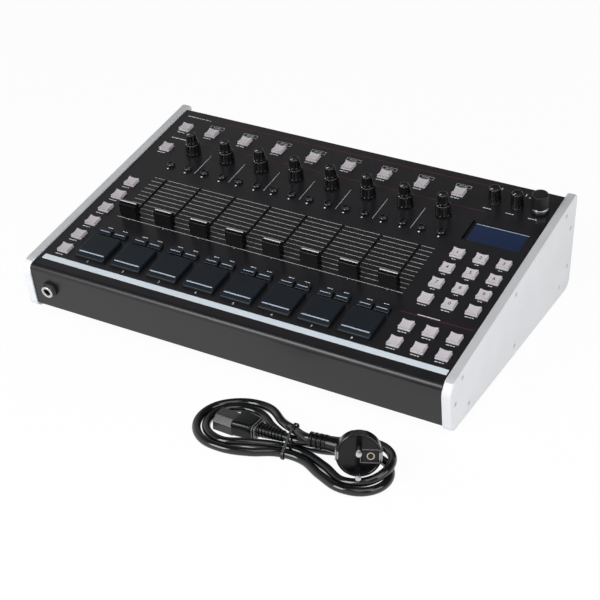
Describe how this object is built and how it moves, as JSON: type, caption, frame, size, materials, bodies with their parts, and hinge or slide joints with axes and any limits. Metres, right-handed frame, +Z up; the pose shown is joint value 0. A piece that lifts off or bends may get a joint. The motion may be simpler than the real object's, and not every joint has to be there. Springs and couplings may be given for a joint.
{
  "type": "drum machine",
  "caption": "Desktop drum machine: sloping black deck between light cheeks, fader and knob columns, pads, keypad, display, headphone jack, and a coiled mains lead.",
  "frame": {"origin": "centre of the machine's bounding box at the floor, the lead left out", "axes": "+X along the front edge to the right, +Y to the back, +Z up"},
  "size_m": [0.4, 0.3603, 0.108],
  "materials": {
    "deck": "satin black powder coat",
    "cheek": "smooth satin light silver",
    "screw": "zinc plated",
    "rubber": "matt black",
    "light": "diffuse white",
    "screen": "dark blue glossy window",
    "board": "solder mask",
    "tin": "tinned sheet",
    "jackmetal": "nickel plated",
    "black": "fine matt black",
    "key": "satin off-white",
    "pad": "satin dark blue-grey",
    "knob": "satin black",
    "red": "translucent red",
    "cable": "glossy black sheath"
  },
  "bodies": {
    "case": {"bottom_plate": "deck", "top_panel": "deck", "rear_panel": "deck", "side_plates": "deck", "end_cheek_left": "cheek", "end_cheek_right": "cheek", "cheek_screws": "screw", "rubber_feet": "rubber", "panel_leds": "light", "display": "screen", "control_board": "board", "control_bodies": "tin", "headphone_jack": "jackmetal", "rear_sockets": "black", "power_inlet": "black", "power_supply": "tin", "mains_cord": "cable", "iec_connector": "cable", "mains_plug": "cable", "cord_tie": "black"},
    "mode_keys": {"mode_keys": "key"},
    "keypad_keys": {"keypad_keys": "key"},
    "track_buttons": {"track_buttons": "knob"},
    "pad_buttons": {"pad_buttons": "pad"},
    "drum_pad_1": {"drum_pad_1": "pad"},
    "drum_pad_2": {"drum_pad_2": "pad"},
    "drum_pad_3": {"drum_pad_3": "pad"},
    "drum_pad_4": {"drum_pad_4": "pad"},
    "drum_pad_5": {"drum_pad_5": "pad"},
    "drum_pad_6": {"drum_pad_6": "pad"},
    "drum_pad_7": {"drum_pad_7": "pad"},
    "drum_pad_8": {"drum_pad_8": "pad"},
    "fader_cap_1": {"fader_cap_1": "knob"},
    "fader_cap_2": {"fader_cap_2": "knob"},
    "fader_cap_3": {"fader_cap_3": "knob"},
    "fader_cap_4": {"fader_cap_4": "knob"},
    "fader_cap_5": {"fader_cap_5": "knob"},
    "fader_cap_6": {"fader_cap_6": "knob"},
    "fader_cap_7": {"fader_cap_7": "knob"},
    "fader_cap_8": {"fader_cap_8": "knob"},
    "outer_knob_1": {"outer_knob_1": "knob"},
    "inner_knob_1": {"inner_knob_1": "knob"},
    "outer_knob_2": {"outer_knob_2": "knob"},
    "inner_knob_2": {"inner_knob_2": "knob"},
    "outer_knob_3": {"outer_knob_3": "knob"},
    "inner_knob_3": {"inner_knob_3": "knob"},
    "outer_knob_4": {"outer_knob_4": "knob"},
    "inner_knob_4": {"inner_knob_4": "knob"},
    "outer_knob_5": {"outer_knob_5": "knob"},
    "inner_knob_5": {"inner_knob_5": "knob"},
    "outer_knob_6": {"outer_knob_6": "knob"},
    "inner_knob_6": {"inner_knob_6": "knob"},
    "outer_knob_7": {"outer_knob_7": "knob"},
    "inner_knob_7": {"inner_knob_7": "knob"},
    "outer_knob_8": {"outer_knob_8": "knob"},
    "inner_knob_8": {"inner_knob_8": "knob"},
    "volume_knob": {"volume_knob": "knob"},
    "gain_knob": {"gain_knob": "knob"},
    "select_encoder": {"select_encoder": "knob"},
    "power_rocker": {"power_rocker": "red"}
  },
  "joints": [
    {"name": "mode_keys_press", "type": "slide", "parent": "case", "child": "mode_keys", "axis": [0, 0.1736, -0.9848], "range_m": [0, 0.001], "stiffness_N_per_m": 800, "springref_m": -0.0006},
    {"name": "keypad_keys_press", "type": "slide", "parent": "case", "child": "keypad_keys", "axis": [0, 0.1736, -0.9848], "range_m": [0, 0.001], "stiffness_N_per_m": 800, "springref_m": -0.0006},
    {"name": "track_buttons_press", "type": "slide", "parent": "case", "child": "track_buttons", "axis": [0, 0.1736, -0.9848], "range_m": [0, 0.0008], "stiffness_N_per_m": 500, "springref_m": -0.0005},
    {"name": "pad_buttons_press", "type": "slide", "parent": "case", "child": "pad_buttons", "axis": [0, 0.1736, -0.9848], "range_m": [0, 0.001], "stiffness_N_per_m": 700, "springref_m": -0.0005},
    {"name": "drum_pad_1_press", "type": "slide", "parent": "case", "child": "drum_pad_1", "axis": [0, 0.1736, -0.9848], "range_m": [0, 0.0015], "stiffness_N_per_m": 600, "springref_m": -0.0006},
    {"name": "drum_pad_2_press", "type": "slide", "parent": "case", "child": "drum_pad_2", "axis": [0, 0.1736, -0.9848], "range_m": [0, 0.0015], "stiffness_N_per_m": 600, "springref_m": -0.0006},
    {"name": "drum_pad_3_press", "type": "slide", "parent": "case", "child": "drum_pad_3", "axis": [0, 0.1736, -0.9848], "range_m": [0, 0.0015], "stiffness_N_per_m": 600, "springref_m": -0.0006},
    {"name": "drum_pad_4_press", "type": "slide", "parent": "case", "child": "drum_pad_4", "axis": [0, 0.1736, -0.9848], "range_m": [0, 0.0015], "stiffness_N_per_m": 600, "springref_m": -0.0006},
    {"name": "drum_pad_5_press", "type": "slide", "parent": "case", "child": "drum_pad_5", "axis": [0, 0.1736, -0.9848], "range_m": [0, 0.0015], "stiffness_N_per_m": 600, "springref_m": -0.0006},
    {"name": "drum_pad_6_press", "type": "slide", "parent": "case", "child": "drum_pad_6", "axis": [0, 0.1736, -0.9848], "range_m": [0, 0.0015], "stiffness_N_per_m": 600, "springref_m": -0.0006},
    {"name": "drum_pad_7_press", "type": "slide", "parent": "case", "child": "drum_pad_7", "axis": [0, 0.1736, -0.9848], "range_m": [0, 0.0015], "stiffness_N_per_m": 600, "springref_m": -0.0006},
    {"name": "drum_pad_8_press", "type": "slide", "parent": "case", "child": "drum_pad_8", "axis": [0, 0.1736, -0.9848], "range_m": [0, 0.0015], "stiffness_N_per_m": 600, "springref_m": -0.0006},
    {"name": "fader_1_slide", "type": "slide", "parent": "case", "child": "fader_cap_1", "axis": [0, 0.9848, 0.1736], "range_m": [0, 0.058]},
    {"name": "fader_2_slide", "type": "slide", "parent": "case", "child": "fader_cap_2", "axis": [0, 0.9848, 0.1736], "range_m": [0, 0.058]},
    {"name": "fader_3_slide", "type": "slide", "parent": "case", "child": "fader_cap_3", "axis": [0, 0.9848, 0.1736], "range_m": [0, 0.058]},
    {"name": "fader_4_slide", "type": "slide", "parent": "case", "child": "fader_cap_4", "axis": [0, 0.9848, 0.1736], "range_m": [0, 0.058]},
    {"name": "fader_5_slide", "type": "slide", "parent": "case", "child": "fader_cap_5", "axis": [0, 0.9848, 0.1736], "range_m": [0, 0.058]},
    {"name": "fader_6_slide", "type": "slide", "parent": "case", "child": "fader_cap_6", "axis": [0, 0.9848, 0.1736], "range_m": [0, 0.058]},
    {"name": "fader_7_slide", "type": "slide", "parent": "case", "child": "fader_cap_7", "axis": [0, 0.9848, 0.1736], "range_m": [0, 0.058]},
    {"name": "fader_8_slide", "type": "slide", "parent": "case", "child": "fader_cap_8", "axis": [0, 0.9848, 0.1736], "range_m": [0, 0.058]},
    {"name": "outer_knob_1_turn", "type": "hinge", "parent": "case", "child": "outer_knob_1", "pos_m": [-0.1475, 0.06403, 0.08742], "axis": [0, -0.1736, 0.9848], "range_deg": [-300, 0]},
    {"name": "inner_knob_1_turn", "type": "hinge", "parent": "case", "child": "inner_knob_1", "pos_m": [-0.1475, 0.06212, 0.09825], "axis": [0, -0.1736, 0.9848], "range_deg": [-300, 0]},
    {"name": "outer_knob_2_turn", "type": "hinge", "parent": "case", "child": "outer_knob_2", "pos_m": [-0.1115, 0.06403, 0.08742], "axis": [0, -0.1736, 0.9848], "range_deg": [-300, 0]},
    {"name": "inner_knob_2_turn", "type": "hinge", "parent": "case", "child": "inner_knob_2", "pos_m": [-0.1115, 0.06212, 0.09825], "axis": [0, -0.1736, 0.9848], "range_deg": [-300, 0]},
    {"name": "outer_knob_3_turn", "type": "hinge", "parent": "case", "child": "outer_knob_3", "pos_m": [-0.0755, 0.06403, 0.08742], "axis": [0, -0.1736, 0.9848], "range_deg": [-300, 0]},
    {"name": "inner_knob_3_turn", "type": "hinge", "parent": "case", "child": "inner_knob_3", "pos_m": [-0.0755, 0.06212, 0.09825], "axis": [0, -0.1736, 0.9848], "range_deg": [-300, 0]},
    {"name": "outer_knob_4_turn", "type": "hinge", "parent": "case", "child": "outer_knob_4", "pos_m": [-0.0395, 0.06403, 0.08742], "axis": [0, -0.1736, 0.9848], "range_deg": [-300, 0]},
    {"name": "inner_knob_4_turn", "type": "hinge", "parent": "case", "child": "inner_knob_4", "pos_m": [-0.0395, 0.06212, 0.09825], "axis": [0, -0.1736, 0.9848], "range_deg": [-300, 0]},
    {"name": "outer_knob_5_turn", "type": "hinge", "parent": "case", "child": "outer_knob_5", "pos_m": [-0.0035, 0.06403, 0.08742], "axis": [0, -0.1736, 0.9848], "range_deg": [-300, 0]},
    {"name": "inner_knob_5_turn", "type": "hinge", "parent": "case", "child": "inner_knob_5", "pos_m": [-0.0035, 0.06212, 0.09825], "axis": [0, -0.1736, 0.9848], "range_deg": [-300, 0]},
    {"name": "outer_knob_6_turn", "type": "hinge", "parent": "case", "child": "outer_knob_6", "pos_m": [0.0325, 0.06403, 0.08742], "axis": [0, -0.1736, 0.9848], "range_deg": [-300, 0]},
    {"name": "inner_knob_6_turn", "type": "hinge", "parent": "case", "child": "inner_knob_6", "pos_m": [0.0325, 0.06212, 0.09825], "axis": [0, -0.1736, 0.9848], "range_deg": [-300, 0]},
    {"name": "outer_knob_7_turn", "type": "hinge", "parent": "case", "child": "outer_knob_7", "pos_m": [0.0685, 0.06403, 0.08742], "axis": [0, -0.1736, 0.9848], "range_deg": [-300, 0]},
    {"name": "inner_knob_7_turn", "type": "hinge", "parent": "case", "child": "inner_knob_7", "pos_m": [0.0685, 0.06212, 0.09825], "axis": [0, -0.1736, 0.9848], "range_deg": [-300, 0]},
    {"name": "outer_knob_8_turn", "type": "hinge", "parent": "case", "child": "outer_knob_8", "pos_m": [0.1045, 0.06403, 0.08742], "axis": [0, -0.1736, 0.9848], "range_deg": [-300, 0]},
    {"name": "inner_knob_8_turn", "type": "hinge", "parent": "case", "child": "inner_knob_8", "pos_m": [0.1045, 0.06212, 0.09825], "axis": [0, -0.1736, 0.9848], "range_deg": [-300, 0]},
    {"name": "volume_turn", "type": "hinge", "parent": "case", "child": "volume_knob", "pos_m": [0.1379, 0.09611, 0.09612], "axis": [0, -0.1736, 0.9848], "range_deg": [-150, 150]},
    {"name": "gain_turn", "type": "hinge", "parent": "case", "child": "gain_knob", "pos_m": [0.1586, 0.09611, 0.09612], "axis": [0, -0.1736, 0.9848], "range_deg": [-150, 150]},
    {"name": "select_turn", "type": "hinge", "parent": "case", "child": "select_encoder", "pos_m": [0.1793, 0.09611, 0.09612], "axis": [0, -0.1736, 0.9848], "continuous": true},
    {"name": "power_rocker_tilt", "type": "hinge", "parent": "case", "child": "power_rocker", "pos_m": [-0.128, 0.12068, 0.042], "axis": [1, 0, 0], "range_deg": [0, 16]}
  ]
}
